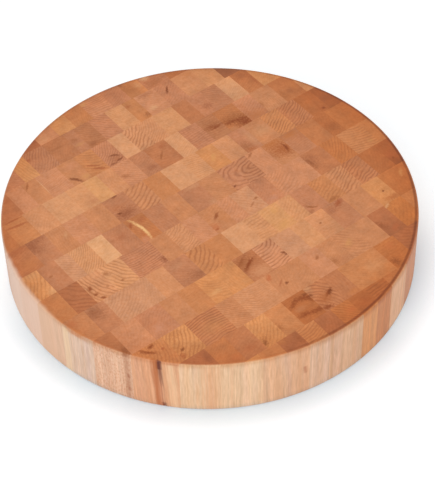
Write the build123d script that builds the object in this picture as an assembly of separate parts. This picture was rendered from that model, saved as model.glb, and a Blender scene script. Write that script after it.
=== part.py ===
"""Round end-grain chopping block, millimetres, +Z up.

Maple boards are glued into panels, the panels are sawn into bars, and each bar is turned on
its end, so that the grain stands upright. Twelve bars are glued side by side as rows, and
the slab is then sawn round and eased along both rims. Every solid here is one block of a
bar: a plain prism inside the board, and a prism cut by the round where it meets the rim.
The rows run along X, and the origin is the centre of the face that the board stands on.
"""

from build123d import *
from itertools import pairwise
import math
import os

# The finished board
board_diameter = 457.2
board_thickness = 73.0
edge_bevel = 2.0

# What the saw takes off the slab: beyond its first row, beyond its last, and at the bars' ends
first_row_waste = 4.5
last_row_waste = 11.1
bar_end_waste = 5.0

# The width of a middling block, as a share of the board's diameter
block_width_share = 0.0547

# The bars, from the row furthest along +Y to the one furthest along -Y. Each begins with the
# place of its first joint, counted from the board's centre along X, and goes on with the
# widths of the blocks from there to its last joint, all as shares of a middling block. The
# blocks beyond those two joints run on to the rim.
bar_shares = (
    (-3.72, 1.04, 0.92, 0.96, 1.20, 0.96, 0.96, 1.28),
    (-5.58, 0.80, 1.10, 1.12, 0.56, 0.86, 0.94, 0.96, 0.68, 1.12, 1.00, 1.12, 0.96),
    (
        -6.68, 0.80, 0.76, 1.14, 0.94, 0.96, 0.92, 0.80, 0.80, 0.84, 1.18, 0.82, 0.84, 0.88, 0.88,
        0.86,
    ),
    (
        -7.88, 1.06, 1.06, 1.22, 0.90, 0.76, 0.80, 0.98, 0.82, 1.16, 0.82, 0.98, 0.96, 1.16, 1.00,
        1.10, 1.14,
    ),
    (
        -7.70, 0.98, 0.92, 1.08, 1.04, 1.16, 1.04, 1.00, 1.08, 0.88, 0.92, 0.92, 0.88, 1.00, 0.96,
        1.02, 0.98,
    ),
    (
        -8.14, 0.90, 0.68, 0.98, 0.80, 1.14, 1.00, 1.00, 0.94, 1.10, 1.06, 0.74, 0.88, 0.94, 1.04,
        0.98, 1.00, 0.72,
    ),
    (
        -8.14, 0.98, 1.08, 1.12, 1.54, 0.84, 0.88, 0.90, 1.04, 0.72, 1.02, 0.94, 1.04, 1.02, 1.16,
        1.00, 1.32,
    ),
    (
        -7.88, 0.96, 1.16, 1.00, 0.94, 1.16, 1.00, 0.96, 1.16, 0.84, 1.00, 0.78, 1.04, 0.96, 0.96,
        1.00, 0.96,
    ),
    (-7.66, 1.22, 1.24, 0.94, 0.94, 0.88, 1.10, 1.08, 1.02, 1.04, 0.84, 1.00, 1.10, 1.12, 0.98),
    (-6.20, 1.16, 1.56, 0.90, 0.66, 1.04, 0.98, 0.88, 0.98, 0.90, 1.00, 1.00, 0.98, 1.00),
    (-5.20, 1.00, 1.04, 1.02, 0.94, 1.16, 1.04, 0.84, 0.92, 1.10, 1.10),
    (-3.68, 0.98, 1.00, 0.94, 0.90, 0.92, 0.94, 1.02),
)

# A block whose furthest corner lies beyond this share of the radius is a rim block
rim_zone_share = 0.984

board_radius = board_diameter / 2
row_depth = (board_diameter + first_row_waste + last_row_waste) / len(bar_shares)
block_width = block_width_share * board_diameter


def sawn_round():
    """The shape that the slab is sawn to, eased along both rims."""
    upright = (Align.CENTER, Align.CENTER, Align.MIN)
    blank = Cylinder(board_radius, board_thickness, align=upright)
    return chamfer(blank.edges().filter_by(GeomType.CIRCLE), edge_bevel)


def joints_of_bar(shares):
    """Where a bar's joints lie along X, in rising order."""
    joints = [shares[0] * block_width]
    for width_share in shares[1:]:
        joints.append(joints[-1] + width_share * block_width)
    return joints


def uncut_block(left, right, near, far):
    """One block of a bar as it is glued up: a prism as tall as the board."""
    from_corner = (Align.MIN, Align.MIN, Align.MIN)
    return Pos(left, near) * Box(right - left, far - near, board_thickness, align=from_corner)


def blocks_of_row(near, far, shares):
    """The finished blocks of one row, in the three groups that they are kept in."""
    bar_end = board_radius + bar_end_waste
    groups = {"left_rim": [], "middle": [], "right_rim": []}
    for left, right in pairwise([-bar_end, *joints_of_bar(shares), bar_end]):
        block = uncut_block(left, right, near, far)
        furthest_corner = math.hypot(max(-left, right), max(-near, far))
        if furthest_corner < rim_zone_share * board_radius:
            groups["middle"].append(block)
        else:
            side = "left_rim" if left + right < 0 else "right_rim"
            groups[side].append((block & board_round).solid())
    return groups


board_round = sawn_round()
os.makedirs("parts", exist_ok=True)
for row, shares in enumerate(bar_shares):
    far = board_radius + first_row_waste - row * row_depth
    for place, blocks in blocks_of_row(far - row_depth, far, shares).items():
        if blocks:
            export_step(Compound(children=blocks), f"parts/row_{row + 1:02d}_{place}_blocks.step")
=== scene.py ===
"""A round end-grain chopping block on a white table, in metres.

Each row of the board is one bar of maple blocks, and has one section here. A block is a
closed surface of its own, with the eased rims that the saw and the sander leave on it.
"""

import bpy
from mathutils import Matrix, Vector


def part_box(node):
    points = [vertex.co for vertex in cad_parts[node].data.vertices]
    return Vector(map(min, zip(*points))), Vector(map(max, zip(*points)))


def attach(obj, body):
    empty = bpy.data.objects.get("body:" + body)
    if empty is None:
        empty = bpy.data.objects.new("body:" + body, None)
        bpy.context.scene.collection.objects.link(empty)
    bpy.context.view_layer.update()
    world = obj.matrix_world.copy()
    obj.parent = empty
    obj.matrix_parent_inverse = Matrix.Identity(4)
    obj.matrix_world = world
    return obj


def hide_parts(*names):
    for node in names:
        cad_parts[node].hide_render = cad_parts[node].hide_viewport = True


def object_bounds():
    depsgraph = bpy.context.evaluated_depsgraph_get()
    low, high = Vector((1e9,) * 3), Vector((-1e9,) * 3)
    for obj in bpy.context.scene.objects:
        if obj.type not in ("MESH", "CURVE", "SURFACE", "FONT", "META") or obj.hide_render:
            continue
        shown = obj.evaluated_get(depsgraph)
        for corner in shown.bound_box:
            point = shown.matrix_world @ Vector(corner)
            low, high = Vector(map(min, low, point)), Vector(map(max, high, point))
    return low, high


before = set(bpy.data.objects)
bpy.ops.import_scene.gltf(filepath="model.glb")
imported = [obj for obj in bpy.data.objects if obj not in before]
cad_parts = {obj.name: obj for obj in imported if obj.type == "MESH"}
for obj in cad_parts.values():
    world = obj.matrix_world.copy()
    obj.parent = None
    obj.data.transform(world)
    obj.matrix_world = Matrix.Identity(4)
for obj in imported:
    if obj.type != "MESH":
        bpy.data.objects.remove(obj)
cad_box = [list(corner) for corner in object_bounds()]

import math
from collections import namedtuple

import bpy
import mathutils
import numpy as np

# Row 1, the cap at the back of the board.
# Maple, glued up and sawn round with its long side cut away by the rim, so every block here
# shows end grain above and long grain on the side. All rows are made and oiled like it.

board_low, board_high = (np.array(corner) for corner in cad_box)
radius = (board_high[0] - board_low[0]) / 2
thickness = board_high[2] - board_low[2]
rim_round = 0.003
rim_steps = 9
arc_step = math.radians(1.2)
weld_steps_per_metre = 1e7


def arc_ends(block, radii):
    """The plan angles at which circles about the board's centre enter and leave a block.

    A circle of radius r crosses the line x = a at y = sqrt(r^2 - a^2) either side, and the
    line y = b likewise. Of the crossings that lie on the block's four sides, the first and
    the last angle are taken, counted from the direction of the block's own middle.
    """
    left, right, near, far = block
    middle = math.atan2((near + far) / 2, (left + right) / 2)
    slack = 1 / weld_steps_per_metre
    crossings = []
    for line, upright in ((left, True), (right, True), (near, False), (far, False)):
        half_chord = np.sqrt(np.where(radii > abs(line), radii**2 - line**2, 0))
        for other in (half_chord, -half_chord):
            along = np.full_like(radii, line)
            x, y = (along, other) if upright else (other, along)
            on_block = (radii >= abs(line)) & (x > left - slack) & (x < right + slack)
            on_block &= (y > near - slack) & (y < far + slack)
            turned = (np.arctan2(y, x) - middle + np.pi) % (2 * np.pi) - np.pi
            crossings.append(np.where(on_block, turned, np.nan))
    return middle + np.nanmin(crossings, axis=0), middle + np.nanmax(crossings, axis=0)


def flat_face(points, axis, level, sign):
    """The polygon of all points at one level of an axis, in order round their middle.

    The block is convex, so the points of each flat side lie in convex order, sorted by
    their angle about the middle. The sign says which way the side looks.
    """
    on_face = np.flatnonzero(np.abs(points[:, axis] - level) < 1 / weld_steps_per_metre)
    if len(on_face) < 3:
        return []
    across, up = [(1, 2), (2, 0), (0, 1)][axis]
    offset = points[on_face] - points[on_face].mean(axis=0)
    order = np.argsort(np.arctan2(offset[:, up], offset[:, across]) * sign)
    return [on_face[order]]


def block_surface(block):
    """Points, faces and smooth flags of one block: a box, cut by a disc with round rims.

    The rim's profile is a quarter turn of rim_round at the top, a straight wall and a
    quarter turn at the bottom. Each ring of the profile is an arc of a circle about the
    board's centre, from where the circle enters the block to where it leaves it.
    """
    left, right, near, far = block
    flat_radius = radius - rim_round
    corners = np.array([(x, y) for x in (left, right) for y in (near, far)])
    reach = np.hypot(*corners.T)
    kept = corners[reach <= flat_radius]
    points = [np.column_stack([kept, np.full(len(kept), z)]) for z in (0, thickness)]
    quads = np.empty((0, 4), int)
    if reach.max() > flat_radius:
        inside = (reach > flat_radius) & (reach < radius)
        corner_turns = np.arcsin((reach[inside] - flat_radius) / rim_round)
        last_turn = math.pi / 2 if reach.max() >= radius else corner_turns.max()
        turns = np.union1d(np.linspace(0, last_turn, rim_steps + 1), corner_turns)
        radii = flat_radius + rim_round * np.sin(turns)
        drop = rim_round * (1 - np.cos(turns))
        first, last = arc_ends(block, radii)
        steps = max(2, round(np.max(last - first) / arc_step))
        angle = first[:, None] + (last - first)[:, None] * np.linspace(0, 1, steps + 1)
        ring = np.stack([radii[:, None] * np.cos(angle), radii[:, None] * np.sin(angle)], axis=-1)
        rings = np.concatenate([ring, ring[::-1]])
        height = np.concatenate([thickness - drop, drop[::-1]])
        grid = np.dstack([rings, np.broadcast_to(height[:, None], rings.shape[:2])])
        number = np.arange(grid.shape[0] * grid.shape[1]).reshape(grid.shape[:2])
        quads = np.stack([number[:-1, :-1], number[1:, :-1], number[1:, 1:], number[:-1, 1:]], -1)
        quads = quads.reshape(-1, 4) + 2 * len(kept)
        points.append(grid.reshape(-1, 3))
    points = np.concatenate(points)

    keys = np.round(points * weld_steps_per_metre).astype(np.int64)
    _, first_of, welded = np.unique(keys, axis=0, return_index=True, return_inverse=True)
    points, welded = points[first_of], welded.reshape(-1)
    faces = [list(dict.fromkeys(quad)) for quad in welded[quads].tolist()]
    faces = [face for face in faces if len(face) > 2]
    smooth = [True] * len(faces)
    for axis, level, sign in (
        (0, left, -1), (0, right, 1), (1, near, -1), (1, far, 1), (2, 0, -1), (2, thickness, 1),
    ):
        for face in flat_face(points, axis, level, sign):
            faces.append(face.tolist())
            smooth.append(False)
    return points, faces, smooth


def read_all(items, field, kind=np.float32, width=1):
    """One field of all of a mesh's items, flat, or with a row for each item."""
    values = np.empty(len(items) * width, kind)
    items.foreach_get(field, values)
    return values.reshape(-1, width) if width > 1 else values


def walls_of_row(nodes):
    """Where a row's upright walls stand along X, read off the CAD triangles that have all
    three corners at one x."""
    same_x, decimals = 1e-6, 5
    found = []
    for node in nodes:
        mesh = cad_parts[node].data
        corners = read_all(mesh.loops, "vertex_index", np.int32).reshape(-1, 3)
        x = read_all(mesh.vertices, "co", width=3)[corners, 0]
        upright = (np.ptp(x, axis=1) < same_x) & (np.abs(x[:, 0]) < radius - rim_round)
        found.append(x[upright, 0])
    return np.unique(np.round(np.concatenate(found), decimals)).astype(float)


# End grain as it looks oiled, from the palest board to the darkest heart
end_grain_tones = {
    "milk": (221, 160, 111), "cream": (213, 148, 101), "corn": (213, 148, 94),
    "oat": (210, 143, 94), "fog": (203, 139, 97), "wheat": (210, 141, 86),
    "sand": (206, 137, 90), "honey": (207, 135, 79), "blush": (203, 133, 90),
    "tan": (198, 128, 81), "amber": (198, 125, 73), "rose": (194, 124, 83),
    "mauve": (188, 120, 79), "clay": (188, 115, 69), "caramel": (190, 115, 64),
    "copper": (197, 119, 60), "ginger": (191, 112, 56), "dusk": (183, 114, 70),
    "rust": (181, 103, 50), "walnut": (177, 104, 60), "cocoa": (171, 95, 44),
    "plum": (160, 95, 56),
}

# Long grain as it looks on the side, sanded and hardly oiled
side_tones = {
    "pale": (224, 185, 147), "straw": (232, 195, 154), "shell": (226, 190, 166),
    "linen": (213, 181, 157), "lilac": (228, 195, 173), "pink": (219, 177, 146),
    "barley": (219, 178, 147), "peach": (219, 174, 138), "apricot": (230, 179, 140),
    "biscuit": (219, 171, 134), "fawn": (216, 159, 120), "tawny": (221, 154, 101),
    "brick": (209, 140, 93), "russet": (212, 147, 107),
}

# Knots, streaks and stains of either
mark_tones = {
    "black": (98, 40, 24), "bark": (124, 55, 0), "dried": (140, 61, 0), "plum": (148, 78, 40),
    "brown": (158, 88, 38), "red": (162, 76, 28), "rust": (174, 94, 40), "grey": (180, 114, 76),
    "clay": (184, 112, 70), "ember": (192, 96, 44), "caramel": (192, 112, 54),
    "tan": (192, 124, 78), "fog": (200, 140, 100), "ochre": (202, 122, 60),
    "pink": (204, 134, 98), "lilac": (204, 140, 108), "sand": (206, 138, 92),
    "straw": (214, 150, 84), "pale": (226, 172, 122), "bone": (236, 182, 120),
    "milk": (236, 202, 160),
}

# Growth rings: where their pith lies from the block's middle, in degrees and mm, how far apart
# they are in mm, how dark, wavy, rayed and flattened they look, and where the first one falls,
# as a share of their gap.
Rings = namedtuple("Rings", "towards away gap depth wave hatch squash phase",
                   defaults=(0.0, 0.0, 1.0, None))

# A knot, streak or stain: its place along X in mm and as a share of the row's depth, its half
# length and half width in mm, its tone and strength, its turn in degrees, its bend, and how far
# below the top it ends and starts, in mm. One as wide as soft_from_width has the softest edge.
Mark = namedtuple("Mark", "x down length width tone strength turn bend depth start",
                  defaults=(0.8, 0.0, 0.0, 3.0, -10.0))
no_mark = Mark(0, 0, 1, 1, "bark", 0)
marks_per_block = 9
soft_from_width = 6

# How far a block's fibres lean by chance, for each length, and the chance itself
usual_lean = 0.012
rng = np.random.default_rng(12)

# Looks are given in millimetres, of which a metre has this many
mm = 1000


def linear(tone):
    """A colour written as eight-bit sRGB, as the light that it stands for."""
    share = np.array(tone, float) / 255
    return np.where(share <= 0.04045, share / 12.92, ((share + 0.055) / 1.055) ** 2.4)


def block_looks(block, tone, side, figure, marks, grain, fade):
    """The values that the maple reads on one block, each the same all over the block."""
    left, right, near, far = np.clip(block, -radius, radius) * mm
    middle = np.array([(left + right) / 2, (near + far) / 2])
    towards = math.radians(figure.towards)
    pith = middle + figure.away * np.array([math.cos(towards), math.sin(towards)])
    lean = np.array([fade[0] / (right - left), -fade[1] / (far - near)])
    phase = rng.uniform(0, 1) if figure.phase is None else figure.phase
    looks = {
        "tone": [*linear(tone), 1],
        "side_tone": [*linear(side), 1],
        "lean": [*lean, -lean @ middle],
        "pith": [*pith, figure.gap],
        "ring_form": [figure.depth, figure.wave, figure.hatch],
        "ring_squash": [figure.towards, figure.squash, phase],
        "grain": [*(part + rng.normal(0, usual_lean) for part in grain[:2]), grain[2]],
    }
    far_line, row_depth = block[3] * mm, (block[3] - block[2]) * mm
    for slot in range(marks_per_block):
        it = marks[slot] if slot < len(marks) else no_mark
        looks[f"mark_{slot}_place"] = [it.x, far_line - it.down * row_depth, it.length]
        looks[f"mark_{slot}_form"] = [it.width, math.radians(it.turn), it.bend]
        looks[f"mark_{slot}_tone"] = [*linear(mark_tones[it.tone]), it.strength]
        looks[f"mark_{slot}_depth"] = [it.depth, it.start, min(it.width / soft_from_width, 1)]
    return looks


def set_rim_normals(mesh, smooth):
    """Gives the rim its true normals, so that no joint shows as a crease.

    On the wall a normal points straight out from the board's axis. On a round it points out
    from the centre of the quarter turn: out by (r - flat radius), and up or down by how far
    the point lies past the end of the wall. All flat faces keep their own normals.
    """
    spots = read_all(mesh.vertices, "co", width=3).astype(float)
    reach = np.hypot(spots[:, 0], spots[:, 1])
    outward = np.maximum((reach - (radius - rim_round)) / rim_round, 0) / reach
    past_top = np.maximum(spots[:, 2] - (thickness - rim_round), 0) / rim_round
    past_bottom = np.minimum(spots[:, 2] - rim_round, 0) / rim_round
    round_normals = np.column_stack([spots[:, :2] * outward[:, None], past_top + past_bottom])
    round_normals /= np.maximum(np.linalg.norm(round_normals, axis=1, keepdims=True), 1e-9)
    counts = read_all(mesh.polygons, "loop_total", np.int32)
    flat = np.repeat(read_all(mesh.polygons, "normal", width=3), counts, axis=0)
    on_rim = np.repeat(smooth, counts)
    corner = read_all(mesh.loops, "vertex_index", np.int32)
    normals = np.where(on_rim[:, None], round_normals[corner], flat)
    mesh.normals_split_custom_set(normals.tolist())


def add_object(name, data):
    """A new object of the scene, with the data given."""
    thing = bpy.data.objects.new(name, data)
    bpy.context.scene.collection.objects.link(thing)
    return thing


def add_piece(name, blocks):
    """One object for a node's blocks, which stay separate closed surfaces in its mesh."""
    points, faces, smooth, looks = [], [], [], []
    start = 0
    for block, look in blocks:
        more_points, more_faces, more_smooth = block_surface(block)
        points.append(more_points)
        faces += [[start + corner for corner in face] for face in more_faces]
        smooth += more_smooth
        looks.append((look, len(more_points)))
        start += len(more_points)
    mesh = bpy.data.meshes.new(name)
    mesh.from_pydata(np.concatenate(points).tolist(), [], faces)
    mesh.polygons.foreach_set("use_smooth", smooth)
    set_rim_normals(mesh, np.array(smooth))
    for key, first_value in looks[0][0].items():
        values = np.concatenate([np.tile(look[key], (count, 1)) for look, count in looks])
        kind, field = ("FLOAT_COLOR", "color") if len(first_value) == 4 else ("FLOAT_VECTOR", "vector")
        attribute = mesh.attributes.new(key, kind, "POINT")
        attribute.data.foreach_set(field, values.astype(np.float32).ravel())
    mesh.update()
    return add_object(name, mesh)


class Tree:
    """Short calls for the nodes of one material, or of the world. A value is a number, a
    colour or a socket."""

    def __init__(self, owner):
        owner.use_nodes = True
        self.nodes = owner.node_tree.nodes
        self.links = owner.node_tree.links
        self.nodes.clear()

    def feed(self, value, socket):
        """Links a socket to another, or sets it to a number or a colour."""
        if isinstance(value, bpy.types.NodeSocket):
            self.links.new(value, socket)
        elif value is not None:
            socket.default_value = value

    def add(self, kind, *values, **settings):
        """The node itself, with settings. Values go to its first sockets, and None skips one."""
        node = self.nodes.new("ShaderNode" + kind)
        for name, setting in settings.items():
            setattr(node, name, setting)
        for value, socket in zip(values, node.inputs):
            self.feed(value, socket)
        return node

    def math(self, operation, *values):
        return self.add("Math", *values, operation=operation).outputs[0]

    def plus(self, total, *more):
        for value in more:
            total = self.math("ADD", total, value)
        return total

    def times(self, product, *more):
        for value in more:
            product = self.math("MULTIPLY", product, value)
        return product

    def vector(self, operation, a, b=None, scale=None):
        node = self.add("VectorMath", a, b, None, scale, operation=operation)
        return node.outputs["Value" if operation == "LENGTH" else "Vector"]

    def parts(self, vector):
        return self.add("SeparateXYZ", vector).outputs

    def join(self, x, y, z=0.0):
        return self.add("CombineXYZ", x, y, z).outputs[0]

    def towards(self, x, y, way):
        """How far a place lies towards a way in plan, whose X and Y shares are given."""
        return self.plus(self.times(x, way[0]), self.times(y, way[1]))

    def turned(self, x, y, turn):
        """A place in axes turned by an angle: x cos + y sin along, and y cos - x sin aside."""
        cos, sin = self.math("COSINE", turn), self.math("SINE", turn)
        aside = self.math("SUBTRACT", self.times(y, cos), self.times(x, sin))
        return self.towards(x, y, (cos, sin)), aside

    def ramp(self, value, low, high, at_low=0.0, at_high=1.0):
        """A smooth step from one level at low to another at high."""
        return self.add("MapRange", value, low, high, at_low, at_high,
                        interpolation_type="SMOOTHSTEP").outputs[0]

    def noise(self, place, scale, detail=2.0, rough=0.5):
        return self.add("TexNoise", place, None, scale, detail, rough).outputs["Fac"]

    def swing(self, reach, *noise, **finer):
        """Noise that swings about zero by up to about reach."""
        return self.times(self.math("SUBTRACT", self.noise(*noise, **finer), 0.5), 2 * reach)

    def moved(self, place, x, y=0.0):
        """The place moved in plan, so that a noise there is one of its own."""
        return self.vector("ADD", place, (x, y, 0.0))

    def mix(self, share, a, b):
        node = self.add("Mix", share, data_type="RGBA")
        self.feed(a, node.inputs[6])
        self.feed(b, node.inputs[7])
        return node.outputs[2]

    def tint(self, colour, share, factors):
        """The colour, with a share of it times the factors for red, green and blue."""
        return self.mix(share, colour, self.vector("MULTIPLY", colour, factors))

    def speckle(self, colour, reach, *noise, **finer):
        """The colour times 1 plus a noise about zero, with its reach in red, green and blue."""
        swing = self.math("SUBTRACT", self.noise(*noise, **finer), 0.5)
        share = self.join(*(self.math("MULTIPLY_ADD", swing, 2 * part, 1.0) for part in reach))
        return self.vector("MULTIPLY", colour, share)

    def attribute(self, name, output="Vector"):
        return self.add("Attribute", attribute_name=name).outputs[output]

    def show(self, shader, output="OutputMaterial"):
        """Makes the shader the one that is seen."""
        self.feed(shader.outputs[0], self.add(output).inputs["Surface"])


def ring_lines(tree, place):
    """Growth rings and rays of a block, each between 0 and 1 with 1 at the dark line.

    Rings are cos(2 pi d / gap) of the distance d from the pith. Rays are the same of the
    way round the pith, at a fixed pitch.
    """
    ray_pitch, ray_radius, sharpness = 2.3, 60.0, 2.2
    pith_x, pith_y, gap = tree.parts(tree.attribute("pith"))
    form = tree.parts(tree.attribute("ring_form"))
    turn, squash, phase = tree.parts(tree.attribute("ring_squash"))
    sway = tree.join(tree.swing(3.2, place, 0.035), tree.swing(3.2, place, 0.041))
    ripple = tree.times(tree.swing(5.0, tree.moved(place, 40.0, 90.0), 0.11, detail=1.0), form[1])
    offset = tree.vector("SUBTRACT", tree.vector("ADD", place, sway), tree.join(pith_x, pith_y))
    across, up, _ = tree.parts(offset)
    along, aside = tree.turned(across, up, tree.math("RADIANS", turn))
    aside = tree.times(aside, squash)
    distance = tree.plus(tree.vector("LENGTH", tree.join(along, aside)), ripple)
    turns = tree.plus(tree.math("DIVIDE", distance, gap), phase)
    crowd = tree.swing(0.55, place, 0.06, detail=1.0)
    wave = tree.math("COSINE", tree.times(tree.plus(turns, crowd), math.tau))
    line = tree.math("POWER", tree.math("MULTIPLY_ADD", wave, 0.5, 0.5), sharpness)
    way_round = tree.times(tree.math("ARCTAN2", aside, along), ray_radius)
    ray = tree.math("COSINE", tree.times(way_round, math.tau / ray_pitch))
    return line, tree.math("MULTIPLY_ADD", ray, 0.5, 0.5), form


def put_mark(tree, place, below_top, rough_edge, colour, slot):
    """Mixes one knot, streak or stain into the colour.

    Its share is 1 inside an oval bent along its length, and falls off over a ragged edge,
    which is wider for a wide one. It falls off again above its start and below its depth.
    """
    x, y, length = tree.parts(tree.attribute(f"mark_{slot}_place"))
    width, turn, bend = tree.parts(tree.attribute(f"mark_{slot}_form"))
    depth, start, softness = tree.parts(tree.attribute(f"mark_{slot}_depth"))
    across, up, _ = tree.parts(tree.vector("SUBTRACT", place, tree.join(x, y)))
    along, aside = tree.turned(across, up, turn)
    aside = tree.plus(aside, tree.times(along, along, bend))
    oval = tree.vector("LENGTH", tree.join(
        tree.math("DIVIDE", along, length), tree.math("DIVIDE", aside, width)))
    ragged = tree.math("MULTIPLY_ADD", rough_edge, tree.plus(softness, 1.0), oval)
    outer = tree.math("MULTIPLY_ADD", softness, 0.35, 1.2)
    inner = tree.math("MULTIPLY_ADD", softness, -0.55, 0.4)
    share = tree.times(
        tree.ramp(ragged, outer, inner), tree.attribute(f"mark_{slot}_tone", "Alpha"),
        tree.ramp(tree.plus(below_top, depth), -3.0, 0.0),
        tree.ramp(tree.plus(below_top, start), 1.0, -2.0))
    return tree.mix(share, colour, tree.attribute(f"mark_{slot}_tone", "Color"))


def end_grain(tree, x, y, place, pores, line, ray, form):
    """The tone of a block's top, times a slope a x + b y + c that leans darker to one side.

    Slow noise clouds it, and fine noise gives it pores and speckles. It is darker at the dark
    lines of the rings and, where a block has them, at the rays, and a block with strong rings
    is paler between them.
    """
    lean = tree.parts(tree.attribute("lean"))
    slope = tree.plus(tree.towards(x, y, lean), lean[2])
    cloud = tree.swing(0.26, place, 0.075, detail=3.0)
    shade = tree.plus(tree.plus(slope, 1.02), tree.plus(cloud, pores))
    top = tree.vector("SCALE", tree.attribute("tone", "Color"), scale=shade)
    top = tree.speckle(top, (0.14, 0.30, 0.55), place, 0.28, detail=3.0, rough=0.65)
    warm = tree.ramp(tree.noise(tree.moved(place, 7.0, 3.0), 0.035), 0.35, 0.7)
    top = tree.tint(top, tree.times(warm, 0.35), (1.04, 0.95, 0.80))
    top = tree.tint(top, form[0], (1.08, 1.13, 1.19))
    top = tree.tint(top, line, (0.64, 0.52, 0.43))
    return tree.tint(top, tree.times(ray, form[2]), (0.86, 0.80, 0.76))


def long_grain(tree, z, place, line, flecked):
    """The tone of a block's side, times noise that is drawn out along Z into upright fibres.

    It has stripes where rings are cut, blushes and greys in broad bands, carries short flecks
    as the block is flecked, and has painted shade in the lowest centimetre.
    """
    across_x, across_y, _ = tree.parts(place)
    fibre_place, thread_place, fleck_place = (
        tree.join(across_x, across_y, tree.times(z, share)) for share in (0.02, 0.1, 0.6))
    fibres = tree.swing(0.24, fibre_place, 0.6, detail=3.0, rough=0.65)
    stripes = tree.swing(0.22, fibre_place, 0.14)
    shade = tree.plus(fibres, stripes, 0.975)
    side = tree.vector("SCALE", tree.attribute("side_tone", "Color"), scale=shade)
    side = tree.speckle(side, (0.2, 0.27, 0.34), thread_place, 0.6, rough=0.6)
    side = tree.tint(side, tree.times(line, 0.45), (0.88, 0.76, 0.64))
    blushing = tree.ramp(tree.noise(fibre_place, 0.11), 0.45, 0.70)
    side = tree.tint(side, tree.times(blushing, 0.5), (1.0, 0.87, 0.74))
    greying = tree.ramp(tree.noise(tree.moved(fibre_place, 60.0), 0.13, detail=1.0), 0.5, 0.72)
    side = tree.tint(side, tree.times(greying, 0.5), (0.97, 0.98, 1.12))
    flecks = tree.ramp(tree.noise(fleck_place, 0.46, rough=0.6), 0.48, 0.62)
    side = tree.tint(side, tree.times(flecks, flecked), (0.84, 0.66, 0.58))
    # Painted shade: the lowest centimetre of the side is darkened and greyed where the table meets it
    return tree.tint(side, tree.ramp(z, 10.0, 1.0), (0.86, 0.92, 1.0))


def painted_rim_shade_line(tree, x, y, from_axis, run):
    """How deep the painted shade is on the thin line where the top's round begins, standing in for the
    round's own shade.

    It rises and falls again over a few millimetres of the distance from the board's axis. It
    hardly shows at the left, and less at the back than at the front.
    """
    flat_end = (radius - rim_round) * mm
    from_left = tree.towards(x, y, (0.99, 0.155))
    shade_share = tree.times(tree.ramp(from_left, -165.0, 10.0, 0.05, 0.78),
                           tree.ramp(y, 0.0, 160.0, 1.0, 0.35))
    return tree.times(tree.ramp(from_axis, flat_end - 2.2, flat_end - 0.4),
                      tree.ramp(from_axis, flat_end + 2.2, flat_end + 0.6),
                      shade_share, tree.ramp(run, 0.2, 0.5, 0.6, 1.0))


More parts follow.
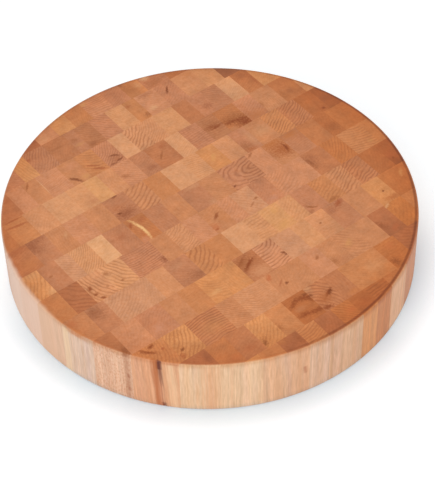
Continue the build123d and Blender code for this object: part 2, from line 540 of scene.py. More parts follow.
def oiled_maple():
    """The maple of all blocks. It reads each block's own looks and is worked out in mm."""
    material = bpy.data.materials.new("oiled_maple")
    tree = Tree(material)
    edge = radius * mm
    coordinates = tree.add("TexCoord").outputs
    x, y, z = tree.parts(tree.vector("SCALE", coordinates["Object"], scale=mm))
    below_top = tree.math("SUBTRACT", z, thickness * mm)
    from_axis = tree.vector("LENGTH", tree.join(x, y))

    # The fibres lean and wander a little on their way down
    grain = tree.parts(tree.attribute("grain"))
    wander = [tree.math("MULTIPLY_ADD", below_top, grain[axis],
                        tree.swing(2.0, tree.join(below_top, seed), 0.02, detail=1.0))
              for axis, seed in enumerate((7.0, 31.0))]
    place = tree.vector("ADD", tree.join(x, y), tree.join(*wander))
    line, ray, form = ring_lines(tree, place)
    patch = tree.ramp(tree.noise(place, 0.05, detail=1.0), 0.3, 0.62, 0.45, 1.0)
    line = tree.times(line, form[0], patch)
    pores = tree.swing(0.09, place, 0.9)
    top = end_grain(tree, x, y, place, pores, line, ray, form)
    side = long_grain(tree, z, place, line, grain[2])

    # The top is browner over its outer 40 mm, and more orange there towards the front right
    rim = tree.ramp(from_axis, edge - 40, edge - 3)
    front_right = tree.towards(x, y, (0.809, -0.588))
    top = tree.tint(top, tree.times(rim, 0.75), (0.88, 0.76, 0.62))
    top = tree.tint(top, tree.times(rim, tree.ramp(front_right, 60.0, 190.0)), (1.02, 0.98, 0.85))

    # The side stays pale up to the round, where the oil has run over a few millimetres, least
    # at the front and most at the front right
    run = tree.noise(tree.join(x, y), 0.09)
    run_depth = tree.plus(tree.ramp(run, 0.3, 0.7, 1.0, 3.5),
                          tree.plus(tree.ramp(front_right, -150.0, -60.0, 0.0, -1.8),
                                    tree.ramp(front_right, 60.0, 150.0, 0.0, 2.6)))
    oiled = tree.ramp(tree.plus(below_top, run_depth), -8.0, 2.0)
    side = tree.tint(side, oiled, (0.80, 0.66, 0.53))
    upward = tree.math("ABSOLUTE", tree.parts(coordinates["Normal"])[2])
    colour = tree.mix(tree.ramp(upward, 0.55, 0.99), side, top)

    # Painted highlight: on the far left the round is laid over with the side's pale tone, reaching over
    # the edge
    far_left = tree.towards(x, y, (-0.994, 0.106))
    painted_rim_highlight = tree.times(tree.ramp(far_left, edge * 0.95, edge * 0.985),
                      tree.ramp(tree.plus(from_axis, tree.times(run, 5.0)), edge - 3.5, edge + 2.5))
    colour = tree.mix(tree.times(painted_rim_highlight, 0.75), colour, tree.attribute("side_tone", "Color"))
    rough_edge = tree.swing(0.55, place, 0.45)
    for slot in range(marks_per_block):
        colour = put_mark(tree, place, below_top, rough_edge, colour, slot)
    # Painted shade: a thin dark brown line where the top turns into the round, strongest at the right
    painted_rim_shade = painted_rim_shade_line(tree, x, y, from_axis, run)
    colour = tree.tint(colour, tree.times(painted_rim_shade, 0.95), (0.40, 0.25, 0.06))

    shader = tree.add("BsdfPrincipled")
    relief = tree.add("Bump")
    tree.feed(0.25, relief.inputs["Strength"])
    tree.feed(0.0003, relief.inputs["Distance"])
    tree.feed(tree.plus(pores, tree.times(line, 0.15)), relief.inputs["Height"])
    tree.feed(colour, shader.inputs["Base Color"])
    tree.feed(tree.math("MULTIPLY_ADD", pores, 0.6, 0.52), shader.inputs["Roughness"])
    tree.feed(0.35, shader.inputs["Specular IOR Level"])
    tree.feed(relief.outputs[0], shader.inputs["Normal"])
    tree.show(shader)
    return material


maple = oiled_maple()

# An end block reaches this far past the rim that cuts it, and a block belongs to a node that
# it shares at least this length with
past_rim = 0.01
least_overlap = 0.001


def lay_row(number, tones, sides, figures, marks, grain=None, fades=None):
    """Makes the pieces of one row, and has them stand for the row's CAD nodes.

    The tones name the end grain of each block from -X to +X. The sides name the long grain of
    blocks at the rim, numbered from the row's left end, or from its right end below zero. The
    figures are the rings of some blocks, where the others have theirs by chance. The marks are
    the values of one Mark each, and the later one covers the earlier. The grain gives how far
    a block's fibres lean in X and Y for each length, and how flecked it is.
    The fades give how much lighter a block is at its +X side than at its -X side, and how
    much lighter at its -Y side than at its +Y side.
    """
    nodes = sorted(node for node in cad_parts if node.startswith(f"row_{number:02d}_"))
    boxes = {node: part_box(node) for node in nodes}
    near = min(low.y for low, high in boxes.values())
    far = max(high.y for low, high in boxes.values())
    near = near - past_rim if near < past_rim - radius else near
    far = far + past_rim if far > radius - past_rim else far
    edges = np.unique([-radius - past_rim, *walls_of_row(nodes), radius + past_rim])
    tones = tones.split()
    marks = [Mark(*values) for values in marks]
    if len(tones) != len(edges) - 1:
        raise ValueError(f"row {number} has {len(edges) - 1} blocks and {len(tones)} tones")
    groups = {node: [] for node in nodes}
    for index, (left, right) in enumerate(zip(edges, edges[1:])):
        block = (float(left), float(right), near, far)
        figure = figures.get(index) or Rings(
            rng.uniform(0, 360), rng.uniform(45, 160), rng.uniform(2.4, 4.0), rng.uniform(0.03, 0.2))
        beside = sides.get(index) or sides.get(index - len(tones), "pale")
        own_marks = [it for it in marks if left * mm <= it.x < right * mm]
        if len(own_marks) > marks_per_block:
            raise ValueError(f"row {number} block {index} has {len(own_marks)} marks")
        look = block_looks(block, end_grain_tones[tones[index]], side_tones[beside], figure,
                           own_marks, (grain or {}).get(index, (0.0, 0.0, 0.0)),
                           (fades or {}).get(index, (0.0, 0.0)))
        for node, (low, high) in boxes.items():
            if min(right, high.x) - max(left, low.x) > least_overlap:
                groups[node].append((block, look))
    for node, blocks in groups.items():
        piece = add_piece(f"maple_{node}", blocks)
        piece.data.materials.append(maple)
        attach(piece, "root")
        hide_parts(node)


lay_row(
    1,
    tones="walnut blush wheat amber blush rose amber rose caramel",
    sides={0: "pink", 1: "peach", 2: "straw", 3: "biscuit", 4: "pale", 5: "fawn", 6: "straw",
           7: "barley", 8: "pink"},
    figures={
        2: Rings(60, 120, 3.0, 0.2), 4: Rings(85, 60, 3.4, 0.5), 5: Rings(120, 90, 3.0, 0.25),
        7: Rings(95, 140, 3.0, 0.2),
    },
    fades={1: (-0.1, 0), 6: (0.3, 0), 7: (-0.06, 0.03)},
    marks=[
        (-96, 0.75, 7, 5, "red", 0.3), (-85, 0.85, 9, 8, "pale", 0.22), (-57, 0.3, 8, 5, "ochre", 0.35),
        (-17, 0.4, 5, 4, "straw", 0.45), (35, 0.38, 5, 4, "plum", 0.45, -40),
        (43, 0.72, 7, 5, "brown", 0.35), (54, 0.45, 6, 5, "ochre", 0.3), (54, 0.66, 6, 6, "pale", 0.32),
        (37, 0.62, 5, 6, "brown", 0.2), (69, 0.88, 13, 6, "brown", 0.5, 20),
        (66, 0.54, 6, 5, "pale", 0.7),
    ],
)

# Row 2, a bar of fourteen blocks glued along the cap's flat.
# A pale honey block lies near its left end and a red-brown heart block closes it at the right.
# Its blocks at both ends are cut by the rim, and the rest are plain prisms.
lay_row(
    2,
    tones="rose wheat mauve dusk mauve dusk rose oat amber blush rose sand oat plum",
    sides={0: "pink", -1: "russet"},
    figures={
        1: Rings(10, 120, 3.6, 0.3), 2: Rings(145, 80, 3.2, 0.55), 5: Rings(60, 90, 3.4, 0.3),
        6: Rings(50, 90, 4.0, 0.45), 10: Rings(130, 100, 3.4, 0.25), 12: Rings(80, 120, 2.6, 0.2),
    },
    fades={2: (-0.08, 0.02), 8: (0, 0.18), 11: (-0.03, -0.1)},
    marks=[
        (-118, 0.3, 3.5, 2.5, "red", 0.6), (-80, 0.39, 11, 2.2, "brown", 0.4, -5),
        (-59, 0.42, 5, 3.2, "brown", 0.55), (-57, 0.66, 7, 3, "straw", 0.3),
        (-44, 0.88, 7, 4, "bark", 0.4, 10), (22, 0.22, 4, 3, "red", 0.45),
        (33, 0.85, 7, 4.5, "bark", 0.5, 40), (45, 0.72, 6, 4, "pale", 0.5),
        (50, 0.12, 11, 4, "plum", 0.35), (75, 0.34, 7.5, 1.8, "bark", 0.85, 55),
        (110, 0.16, 6, 3.5, "ochre", 0.5), (150, 0.5, 5, 9, "plum", 0.4),
    ],
)

# Row 3, a bar of seventeen blocks.
# One block has a dark crescent of bark grown into it, and the next ones carry red-brown
# streaks and a ring-shaped knot. Beyond them the growth rings ripple strongly.
lay_row(
    3,
    tones="clay blush tan blush tan amber rose cream sand sand oat clay rose mauve cream caramel wheat",
    sides={0: "shell", -1: "peach"},
    figures={
        3: Rings(100, 120, 2.6, 0.2), 5: Rings(60, 110, 4.4, 0.35), 6: Rings(140, 90, 2.8, 0.5),
        7: Rings(60, 120, 2.6, 0.25), 8: Rings(135, 70, 4.0, 0.75, wave=0.2),
        9: Rings(140, 70, 2.8, 0.45, wave=0.25), 13: Rings(50, 90, 3.2, 0.35),
    },
    fades={2: (0.07, 0.1), 3: (0.1, 0.03), 5: (0.07, -0.03), 6: (-0.09, 0), 7: (0.05, 0.12),
           8: (0, -0.18), 12: (-0.05, -0.01), 13: (-0.02, 0.02), 14: (0.17, -0.19), 15: (-0.02, 0.1)},
    marks=[
        (-172, 0.3, 5, 4, "red", 0.4), (-142.5, 0.18, 7, 1.7, "brown", 0.8, 52),
        (-128, 0.5, 16, 0.8, "pale", 0.5, 90), (-93, 0.79, 10.5, 2.3, "bark", 0.8, -52, 0.018),
        (-81, 0.86, 6, 5, "straw", 0.5), (-86, 0.25, 9, 6, "pink", 0.4),
        (-66, 0.62, 9, 1.6, "red", 0.6, -35), (-62, 0.84, 9, 2.2, "red", 0.7, -35),
        (-38, 0.8, 7.5, 5.5, "bark", 0.4, 30), (-38.5, 0.8, 4.2, 3.0, "clay", 0.9, 30),
        (-46, 0.94, 5, 1.8, "bark", 0.6), (-37.5, 0.65, 7.5, 1.7, "bark", 0.75, -25, 0.03),
        (-36, 0.89, 5.5, 1.6, "bark", 0.8, 8), (96, 0.66, 7, 6, "plum", 0.45),
        (94, 0.64, 14, 4, "plum", 0.2), (122, 0.1, 6, 5, "brown", 0.3), (109, 0.5, 10, 8, "brown", 0.2),
        (142, 0.25, 5, 9, "pale", 0.2), (142, 0.9, 5, 6, "brown", 0.25), (158, 0.25, 6, 5, "plum", 0.4),
        (166, 0.5, 2.5, 14, "red", 0.5),
    ],
)

# Row 4, a bar of eighteen blocks.
# Red-brown heartwood stains run through its right half in patches and short dark lines, next
# to one pale cream block. Two red streaks cross its left end.
lay_row(
    4,
    tones="caramel amber sand cream oat corn sand blush mauve "
          "clay cream rose dusk caramel rose tan caramel oat",
    sides={0: "shell", -1: "biscuit"},
    figures={
        1: Rings(95, 120, 5.5, 0.15), 3: Rings(90, 140, 2.4, 0.15, hatch=0.15),
        7: Rings(50, 110, 3.2, 0.35), 11: Rings(90, 120, 3.4, 0.35, hatch=0.35),
        12: Rings(88, 110, 3.4, 0.3), 14: Rings(125, 110, 3.2, 0.3),
    },
    fades={1: (0, 0.06), 2: (0.02, 0.16), 4: (0, -0.17), 7: (0, -0.08), 8: (0, -0.08), 14: (0.04, -0.3),
           16: (0, -0.15)},
    marks=[
        (-184, 0.045, 14, 1.5, "red", 0.7, -2), (-184, 0.285, 14, 2.2, "red", 0.65, -8),
        (-97, 0.8, 6, 4, "clay", 0.5), (-47, 0.56, 6, 3.5, "brown", 0.55, -30),
        (-15, 0.74, 8, 5, "plum", 0.5), (4, 0.52, 8, 1.5, "brown", 0.75, 48),
        (13.5, 0.2, 5, 4, "red", 0.4), (79, 0.42, 15, 9, "brown", 0.45),
        (77, 0.47, 9, 4.0, "dried", 0.6), (82, 0.54, 10, 2.2, "dried", 0.75, 8),
        (82, 0.92, 14, 4.5, "tan", 0.7, 10), (103, 0.58, 19, 10, "brown", 0.75, -8),
        (101, 0.66, 11, 2.6, "dried", 0.75, -6), (113, 0.74, 9, 4, "dried", 0.6, -15),
        (114, 0.9, 14, 10, "dried", 1.0, -20), (96, 0.62, 7, 5, "dried", 0.4),
        (131, 0.86, 16, 9, "caramel", 0.62), (124, 0.55, 4, 17, "rust", 0.32),
        (95, 0.93, 6, 4, "tan", 0.8), (145.5, 0.6, 3, 5, "brown", 0.5), (186, 0.64, 5, 4, "plum", 0.3),
        (176, 0.72, 5, 9, "brown", 0.4), (195, 0.5, 5, 10, "ochre", 0.4),
    ],
)

# Row 5, a bar of eighteen blocks, just behind the board's middle bar.
# Smoky purple stains fill two of its blocks, with small dark knots in them, and two bold
# sets of slanted rings stand out at its middle and towards its right end.
lay_row(
    5,
    tones="clay mauve tan blush tan mauve tan amber cream oat honey sand rose tan amber clay rust cocoa",
    sides={0: "lilac", -1: "apricot"},
    figures={
        3: Rings(60, 120, 3.0, 0.15), 6: Rings(122, 80, 5.0, 0.75),
        9: Rings(80, 100, 3.2, 0.3, wave=0.2), 14: Rings(122, 110, 3.5, 0.75, wave=0.3),
        15: Rings(122, 130, 3.5, 0.7, wave=0.35),
    },
    fades={1: (0.12, 0.06), 11: (-0.08, -0.12), 12: (0, -0.06), 13: (0.01, 0.12), 17: (-0.05, 0)},
    marks=[
        (-206, 0.12, 12, 5, "red", 0.4), (-205, 0.72, 10, 9, "ochre", 0.35),
        (-189, 0.2, 10, 14, "plum", 0.75, 10), (-176, 0.06, 9, 6, "plum", 0.5),
        (-150, 0.4, 5, 2, "pale", 0.25, 60), (-77.5, 0.32, 9, 6, "grey", 0.4),
        (-84, 0.45, 7, 5, "rust", 0.45), (-76, 0.04, 4, 1.8, "bark", 0.7),
        (-81, 0.78, 13, 9, "plum", 0.8, 10), (-86, 0.68, 2.4, 2.0, "bark", 0.95),
        (48, 0.5, 7, 3, "straw", 0.6, 50), (86, 0.76, 10, 9, "brown", 0.62, 60),
        (101, 0.55, 5, 16, "pale", 0.25), (120, 0.08, 12, 4, "brown", 0.28),
        (118, 0.5, 11, 8, "pale", 0.22), (118, 0.93, 12, 4, "rust", 0.18),
        (90, 0.92, 9, 4, "rust", 0.6), (198, 0.87, 2.4, 2.2, "bark", 0.95),
        (196, 0.86, 6, 5, "red", 0.4), (209, 0.55, 8, 7, "plum", 0.6),
    ],
)

# Row 6, the longest bar, of nineteen blocks, with the board's middle line in its near side.
# A pale sliver as thin as a match curves across one block between red flecks, and further
# right the rings of a branch lie flat and close round on themselves like a lens.
lay_row(
    6,
    tones="wheat mauve fog oat milk mauve caramel mauve tan mauve "
          "tan rose mauve blush tan mauve caramel rust ginger",
    sides={0: "shell", -1: "pink"},
    figures={
        0: Rings(150, 160, 4.2, 0.5), 2: Rings(50, 120, 3.2, 0.3), 3: Rings(140, 120, 2.6, 0.5),
        10: Rings(60, 100, 3.0, 0.25, wave=0.4), 11: Rings(3, 30, 8.8, 0.75, squash=2.1, phase=0.1),
        12: Rings(8, 9, 8.8, 0.85, squash=2.1, phase=0.1), 14: Rings(40, 80, 2.6, 0.3),
        15: Rings(95, 120, 3.0, 0.2),
    },
    fades={0: (0.14, 0.08), 1: (0.1, 0), 5: (-0.12, 0.05), 6: (0, 0.15), 9: (0.16, 0), 12: (-0.12, -0.04),
           15: (0, 0.15), 16: (-0.13, 0)},
    marks=[
        (-206, 0.9, 7, 6, "pale", 0.32), (-212, 0.1, 10, 5, "pale", 0.2),
        (-197, 0.45, 3, 1.6, "brown", 0.6), (-105, 0.42, 8, 6, "red", 0.3),
        (-79.6, 0.52, 21, 2.2, "bone", 1.0, -84, 0.009), (-88, 0.25, 5, 2.2, "red", 0.8, 60),
        (-73, 0.24, 6, 4.5, "red", 0.45, 20), (-84, 0.72, 6, 3, "red", 0.3, 80),
        (-87, 0.93, 6, 5, "pink", 0.7), (2, 0.08, 11, 4, "pale", 0.25), (6, 0.92, 6, 5, "pale", 0.22),
        (38, 0.82, 3, 1.4, "bark", 0.8, 30), (82, 0.1, 6, 1.8, "brown", 0.7, 35),
        (70, 0.55, 8, 10, "brown", 0.2), (113, 0.1, 18, 8, "caramel", 1.0),
        (117, 0.47, 18, 13, "rust", 1.0, -8), (121, 0.42, 6, 6, "rust", 0.5),
        (120, 0.6, 5, 5, "rust", 0.5), (122.4, 0.47, 8, 2.0, "dried", 0.95, 80, -0.025),
        (140, 0.08, 6, 3.5, "brown", 0.5), (138, 0.14, 16, 7, "caramel", 0.8),
        (148, 0.38, 5, 6, "rust", 0.35), (185, 0.62, 8, 8, "bark", 0.35),
    ],
)

# Row 7, a bar of eighteen blocks sawn from the same panel as the tenth.
# Wavy rings with brown knots in them crowd its left quarter, ahead of one wide block that is
# hatched by rings and rays at once. Its right end is orange.
lay_row(
    7,
    tones="amber walnut sand oat rose tan sand blush tan "
          "blush fog rose blush blush clay ginger amber amber",
    sides={0: "barley", -1: "straw"},
    figures={
        1: Rings(50, 120, 5.6, 0.5), 2: Rings(20, 60, 4.2, 0.75, wave=0.35),
        3: Rings(35, 80, 4.6, 0.75), 4: Rings(90, 100, 3.1, 0.6, hatch=0.35),
        6: Rings(120, 60, 3.4, 0.5, wave=0.5, hatch=0.2), 7: Rings(40, 90, 3.4, 0.2),
        9: Rings(125, 120, 3.4, 0.3), 12: Rings(120, 70, 3.8, 0.35), 15: Rings(140, 100, 3.6, 0.4),
        16: Rings(75, 90, 4.0, 0.45),
    },
    fades={1: (0, 0.05), 4: (0, 0.08), 11: (0, 0.22)},
    marks=[
        (-174.5, 0.46, 3.4, 2.6, "dried", 0.9, 60), (-174, 0.73, 3.0, 2.2, "dried", 0.8),
        (-170, 0.94, 3.4, 2.2, "dried", 0.8, -30), (-176, 0.62, 4, 12, "brown", 0.35),
        (-157.5, 0.68, 2, 2, "brown", 0.55), (-149, 0.28, 5, 2.6, "brown", 0.6, -50),
        (-140.5, 0.74, 2.2, 2.2, "brown", 0.7), (-88, 0.82, 3.6, 5.5, "plum", 0.85),
        (-17, 0.83, 3.2, 2.0, "dried", 0.6, 30), (-17, 0.74, 6, 6, "ember", 0.5),
        (-6, 0.42, 6, 2.4, "dried", 0.8, 38), (-1, 0.6, 6, 9, "ochre", 0.3),
        (45, 0.55, 3.2, 1.8, "brown", 0.8), (36, 0.68, 5, 1.5, "brown", 0.6, 30),
        (60, 0.85, 8, 4, "lilac", 0.5), (127.5, 0.45, 4, 9, "bark", 0.55, 15),
        (132, 0.3, 8, 8, "plum", 0.4), (204, 0.78, 4, 3, "straw", 0.4),
    ],
)

# Row 8, a bar of eighteen blocks sawn from the same panel as the fifth.
# It is pale and quiet in its left half but for one block of bold slanted rings. At the right
# two blocks of wavy rings lead to a red heart block with a pin knot.
lay_row(
    8,
    tones="tan mauve fog fog sand mauve amber amber cream oat corn oat rose amber tan clay rust cocoa",
    sides={0: "linen", -1: "barley"},
    figures={
        0: Rings(60, 120, 3.0, 0.15), 2: Rings(130, 120, 3.4, 0.3), 3: Rings(145, 110, 3.0, 0.2),
        5: Rings(55, 110, 3.6, 0.2), 6: Rings(130, 80, 5.2, 0.65),
        9: Rings(92, 90, 4.0, 0.4, hatch=0.2), 11: Rings(130, 110, 3.6, 0.25),
        13: Rings(125, 80, 3.8, 0.4), 14: Rings(118, 110, 4.0, 0.75, wave=0.3),
        15: Rings(118, 130, 4.0, 0.7, wave=0.3),
    },
    fades={0: (0, 0.12), 1: (0.1, 0.06), 5: (0, -0.08), 11: (-0.2, 0), 15: (-0.06, 0.16),
           17: (-0.03, -0.26)},
    marks=[
        (-217, 0.2, 5, 6, "ember", 0.35), (-223.8, 0.11, 6, 6, "milk", 0.7, 0, 0, 90, 2),
        (-219.8, 0.5, 12, 4, "caramel", 0.6, -74, 0, 4), (-189, 0.26, 10, 9, "bark", 0.45, -25),
        (-73, 0.86, 11, 8, "bark", 0.4, -25), (-82, 0.25, 9, 5, "fog", 0.4),
        (-24, 0.78, 8, 6, "ochre", 0.35), (48, 0.25, 6, 4, "straw", 0.6, 60),
        (44, 0.82, 8, 4.5, "straw", 0.6, 20), (83, 0.78, 8, 1.9, "brown", 0.85, -42, -0.03),
        (80, 0.92, 5, 3, "brown", 0.5), (111, 0.92, 8.5, 3.6, "brown", 0.75, 0, 0.02),
        (205, 0.72, 2.6, 1.6, "bark", 0.7, 60), (206, 0.6, 7, 9, "ember", 0.4, 70),
        (205, 0.8, 7, 7, "dried", 0.22),
    ],
)

# Row 9, a bar of sixteen blocks.
# A dark wedge of heartwood lies across one block near its middle, beside one with strongly
# curved rings. Pin knots mark two of the pale blocks further right.
lay_row(
    9,
    tones="dusk blush rose tan amber honey honey clay blush fog oat sand mauve tan honey ginger",
    sides={0: "pink", -1: "peach"},
    grain={0: (0.0, 0.0, 0.65)},
    figures={
        1: Rings(150, 120, 3.4, 0.15), 5: Rings(60, 40, 4.0, 0.3, wave=0.3),
        8: Rings(108, 36, 4.2, 0.85), 9: Rings(60, 120, 3.0, 0.1),
    },
    fades={0: (0, -0.1), 1: (0.04, 0.07), 6: (-0.08, 0.1), 8: (-0.03, 0.14), 11: (-0.12, -0.26),
           12: (-0.05, 0.06), 14: (0, -0.06), 15: (0, -0.17)},
    marks=[
        (-195.5, 0.82, 4, 8, "bark", 0.6, -20), (-196.6, 0.88, 3, 6, "brown", 0.44, 0, 0, 90),
        (-196.1, 0.896, 2, 2, "dried", 0.4, 0, 0, 57, 52),
        (-196.1, 0.896, 2, 2, "dried", 0.5, 0, 0, 36, 31), (-150, 0.72, 8, 5, "lilac", 0.5, 35),
        (-74, 0.64, 8, 3.2, "bone", 0.3, 5), (-28, 0.26, 17, 11, "brown", 0.75, 25),
        (-23, 0.4, 14, 2.6, "dried", 0.95, 32, 0.01), (-26, 0.2, 8, 2.0, "dried", 0.5, 30),
        (-17, 0.8, 14, 9, "sand", 1.0), (17, 0.65, 3.4, 2.0, "bark", 0.8, -50),
        (18.3, 0.74, 2.4, 1.6, "bark", 0.7), (75.5, 0.42, 1.8, 1.4, "brown", 0.9),
        (111, 0.13, 8, 4.2, "red", 0.8, 25), (98, 0.24, 6, 5, "plum", 0.5),
        (161, 0.56, 1.7, 1.5, "bark", 0.85), (162, 0.9, 11, 3.6, "caramel", 0.9, -8, -0.02),
        (167, 0.93, 8, 6, "rust", 0.5), (196, 0.3, 7, 2.5, "straw", 0.4, 50),
    ],
)

# Row 10, a bar of fifteen blocks from the same panel as the seventh.
# Its first block is orange and full of dark knots, and one of them runs down the side as a
# red-brown streak, leaning a little. The widest block has dark and even rings.
lay_row(
    10,
    tones="amber honey clay tan sand sand tan tan blush tan tan tan walnut copper amber",
    sides={0: "fawn", -2: "tawny", -1: "russet"},
    grain={0: (0.02, -0.026, 0.12)},
    figures={
        0: Rings(150, 60, 3.6, 0.35, wave=0.4), 1: Rings(145, 90, 3.8, 0.65),
        2: Rings(272, 110, 3.2, 0.75), 3: Rings(50, 110, 2.8, 0.35), 4: Rings(50, 100, 3.0, 0.45),
        5: Rings(90, 140, 2.8, 0.2, hatch=0.2), 7: Rings(130, 110, 3.0, 0.15),
        10: Rings(50, 100, 4.0, 0.4), 13: Rings(140, 120, 4.2, 0.2),
    },
    fades={0: (0.05, -0.05), 1: (0, -0.14), 9: (-0.03, -0.17), 12: (0.06, -0.24), 13: (0.04, -0.1)},
    marks=[
        (-171, 0.09, 4.6, 2.8, "dried", 0.9, 20), (-177, 0.24, 9, 2.2, "dried", 0.8, -35),
        (-163, 0.33, 2.8, 1.8, "red", 0.7), (-176.6, 0.61, 2.6, 1.4, "black", 0.75, -50, 0, 90),
        (-177.2, 0.6, 3.4, 2.6, "black", 0.95, -50, 0, 11),
        (-176.9, 0.6, 3.0, 1.8, "black", 1.0, -50, 0, 90, 65),
        (-179.8, 0.51, 4.0, 3, "rust", 0.85, -50, 0, 90),
        (-168.8, 0.83, 7, 5, "milk", 0.5, -60, 0, 90, 3), (-181, 0.1, 7, 1.8, "dried", 0.7, -50),
        (-143, 0.12, 8, 6, "brown", 0.45), (-134, 0.88, 11, 7, "brown", 0.35),
        (-151, 0.6, 7, 7, "brown", 0.35), (-148, 0.68, 3.2, 2.2, "bark", 0.75, 20),
        (-153, 0.86, 4, 4, "red", 0.7), (-104, 0.55, 16, 10, "straw", 0.18),
        (-18.5, 0.13, 5.5, 3.2, "ember", 0.65, 60), (-8, 0.56, 2.2, 2.0, "bark", 0.95),
        (-13, 0.46, 6, 1.3, "red", 0.45, 40), (40, 0.36, 4, 2.2, "brown", 0.7, 40),
        (51.5, 0.76, 3.5, 7, "brown", 0.55), (60, 0.8, 9, 5, "clay", 0.4),
        (80, 0.47, 7, 4, "straw", 0.5, 30), (125, 0.55, 4, 8, "bark", 0.55, 25),
        (135, 0.82, 7, 4, "ember", 0.4, 30), (149, 0.06, 6, 2, "pale", 0.5, 30),
        (151, 0.36, 6, 5, "brown", 0.3),
    ],
)

# Row 11, a bar of twelve blocks that the rim cuts off short at both ends.
# One of its blocks is dark and smoky in two bands, and the next shows slanted rings with
# black bark lines. The blocks at both ends are brown from the oil.
lay_row(
    11,
    tones="walnut caramel clay honey amber rust clay clay amber amber ginger walnut",
    sides={0: "pale", 1: "pale", -2: "russet", -1: "russet"},
    figures={
        3: Rings(140, 90, 3.6, 0.4), 6: Rings(222, 44, 4.2, 0.8), 9: Rings(60, 120, 3.4, 0.1),
        11: Rings(80, 90, 4.6, 0.4),
    },
    fades={2: (0.07, -0.02), 3: (0, -0.14), 4: (-0.03, -0.23), 5: (-0.06, 0), 9: (0, -0.03)},
    marks=[
        (-134.5, 0.3, 5, 9, "plum", 0.75, -10), (-138, 0.54, 11, 6, "ochre", 0.37, -37, 0, 90, 3),
        (-112, 0.75, 8, 5, "ember", 0.35), (-93, 0.7, 8, 5, "red", 0.35),
        (-77, 0.83, 4.6, 2.6, "bark", 0.8, 60), (-75, 0.76, 9, 9, "brown", 0.5),
        (-52.5, 0.66, 3.5, 6, "brown", 0.6), (-22, 0.27, 9, 3.0, "dried", 0.75, 30),
        (-8, 0.25, 12, 4.0, "dried", 0.85, -14), (-19, 0.72, 9, 3.4, "dried", 0.7, -25),
        (-7, 0.8, 11, 3.8, "dried", 0.8, -6), (-4, 0.4, 6, 2.6, "dried", 0.6, -60),
        (-20, 0.5, 8, 3.5, "tan", 0.5), (-4, 0.17, 4, 2.6, "bark", 0.6),
        (-2.5, 0.34, 3, 3, "bark", 0.5), (-25, 0.74, 7, 2.6, "dried", 0.5, -15),
        (16.5, 0.52, 9, 2.0, "dried", 0.95, 32), (3, 0.08, 5, 4, "pale", 0.3),
        (9, 0.62, 10, 8, "rust", 0.75), (19, 0.47, 4, 2.2, "dried", 0.6, -20),
        (19.5, 0.51, 5, 2.4, "bark", 0.85, 35), (4, 0.9, 7, 3.4, "dried", 0.85, -10),
        (0.5, 0.3, 2, 3, "bark", 0.8), (40, 0.9, 8, 4, "ochre", 0.5),
        (101.5, 0.8, 5.5, 7, "bark", 0.6, 10), (90, 0.08, 12, 4, "brown", 0.15),
        (80, 0.55, 16, 8, "pale", 0.2), (112, 0.25, 8, 5, "ember", 0.3),
    ],
)

# Row 12, the cap at the front of the board, nine blocks sawn off short by the rim.
# It is the row whose long grain is seen best, pale cream wood at the left and orange-brown
# at the right, and its end grain above is the brownest of all.
lay_row(
    12,
    tones="honey amber walnut amber walnut ginger rust rust caramel",
    sides={0: "pale", 1: "peach", 2: "biscuit", 3: "barley", 4: "peach", 5: "peach", 6: "tawny",
           7: "brick", 8: "apricot"},
    figures={
        3: Rings(105, 80, 3.4, 0.5), 5: Rings(45, 80, 3.4, 0.45), 7: Rings(95, 90, 4.2, 0.6),
    },
    fades={3: (0, -0.08)},
    marks=[
        (-45.5, 0.3, 4, 9, "bark", 0.4, 10), (-47.9, 0.59, 2.0, 1.6, "red", 0.5, 0, 0, 40, 30),
        (-56, 0.35, 8, 4, "plum", 0.35), (-64, 0.08, 7, 4, "ochre", 0.35),
        (-32, 0.3, 12, 9, "rust", 0.18), (21, 0.35, 6, 4, "ember", 0.4),
        (39, 0.38, 8, 6, "red", 0.4, 10),
    ],
)


# The table, a plain white sheet far wider than the board. The camera sees it pure white
# wherever nothing shades it, and the board stands on it at z = 0.
def white_sheet():
    """A matt white that reads a little less bright to light than it does to the eye, and that
    has a painted shadow: darker and bluer to the eye near the board's foot, most in front of it."""
    material = bpy.data.materials.new("white_sheet")
    tree = Tree(material)
    seen = tree.add("LightPath").outputs["Is Camera Ray"]
    place = tree.add("TexCoord").outputs["Object"]
    x, y, _ = tree.parts(place)
    # Painted shadow: to the eye the sheet darkens and turns bluer within 45 mm of the board's foot,
    # mostly in front, laid into both its colour and its glow
    shadow_end, shadow_start = radius + 0.045, radius - 0.008
    shadow_in_front = tree.ramp(tree.towards(x, y, (-0.41, -0.91)), -0.046, 0.091)
    painted_shadow = tree.times(tree.ramp(tree.vector("LENGTH", place), shadow_end, shadow_start), shadow_in_front)
    to_light = (0.80, 0.80, 0.82, 1)
    to_eye = tree.mix(painted_shadow, (0.93, 0.97, 1.0, 1), (0.635, 0.72, 0.775, 1))
    glow = tree.mix(painted_shadow, (1.0, 1.0, 1.0, 1), (0.685, 0.74, 0.775, 1))
    sheet = tree.add("BsdfPrincipled")
    tree.feed(tree.mix(seen, to_light, to_eye), sheet.inputs["Base Color"])
    tree.feed(0.9, sheet.inputs["Roughness"])
    tree.feed(0.0, sheet.inputs["Specular IOR Level"])
    tree.feed(glow, sheet.inputs["Emission Color"])
    tree.feed(tree.times(seen, 0.21), sheet.inputs["Emission Strength"])
    tree.show(sheet)
    return material


sheet_half = 4.0
corners = [(x * sheet_half, y * sheet_half, 0) for x, y in ((-1, -1), (1, -1), (1, 1), (-1, 1))]
table = add_object("table", bpy.data.meshes.new("table"))
table.data.from_pydata(corners, [], [(0, 1, 2, 3)])
table.data.materials.append(white_sheet())

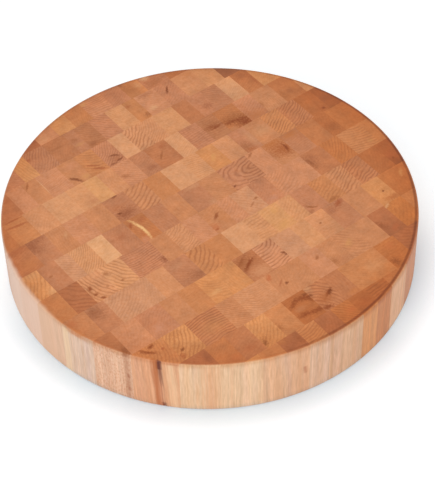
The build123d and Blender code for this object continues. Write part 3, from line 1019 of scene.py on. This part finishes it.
# The camera, where the photograph was taken from: fitted to the two rims and the row lines.
row_turn = math.radians(36.11)
view_height = math.radians(45.98)
view_distance = 1.9048
view_roll = math.radians(-1.64)
aim_aside, aim_ahead = 0.00726, -0.03185
focal_pixels = 1713.1
frame_height_pixels = 495


def from_view(x, y):
    """A place given with the camera looking along +Y, in the board's own axes."""
    return np.array([x * math.cos(row_turn) + y * math.sin(row_turn),
                     y * math.cos(row_turn) - x * math.sin(row_turn)])


eye = np.array([*from_view(0, -view_distance * math.cos(view_height)),
                view_distance * math.sin(view_height) + thickness / 2])
aim = np.array([*from_view(aim_aside, aim_ahead), thickness / 2])
ahead = (aim - eye) / np.linalg.norm(aim - eye)
level_right = np.cross(ahead, (0, 0, 1))
level_right /= np.linalg.norm(level_right)
level_up = np.cross(level_right, ahead)
right = math.cos(view_roll) * level_right + math.sin(view_roll) * level_up
up = math.cos(view_roll) * level_up - math.sin(view_roll) * level_right
camera = add_object("camera", bpy.data.cameras.new("camera"))
pose = np.eye(4)
pose[:3, 0], pose[:3, 1], pose[:3, 2], pose[:3, 3] = right, up, -ahead, eye
camera.matrix_world = mathutils.Matrix(pose.tolist())
camera.data.sensor_width = 36.0
camera.data.lens = focal_pixels / frame_height_pixels * camera.data.sensor_width
bpy.context.scene.camera = camera

# The light, a white studio all round and one soft lamp high on the camera's left. The studio
# is pure white to the eye and a little less to the board.
studio_light = 0.86
world = bpy.data.worlds.new("studio")
bpy.context.scene.world = world
studio = Tree(world)
seen = studio.add("LightPath").outputs["Is Camera Ray"]
sky = studio.add("Background", (1.0, 1.0, 1.0, 1))
studio.feed(studio.math("MULTIPLY_ADD", seen, 1 - studio_light, studio_light), sky.inputs["Strength"])
studio.show(sky, "OutputWorld")

lamp = add_object("soft_lamp", bpy.data.lights.new("soft_lamp", "AREA"))
lamp.data.shape = "DISK"
lamp.data.size = 1.4
lamp.data.energy = 13.0
lamp.location = (*from_view(-0.5, -1.75), 1.05)
lamp.rotation_euler = (-lamp.location).to_track_quat("-Z", "Y").to_euler()

bpy.context.scene.view_settings.view_transform = "Standard"
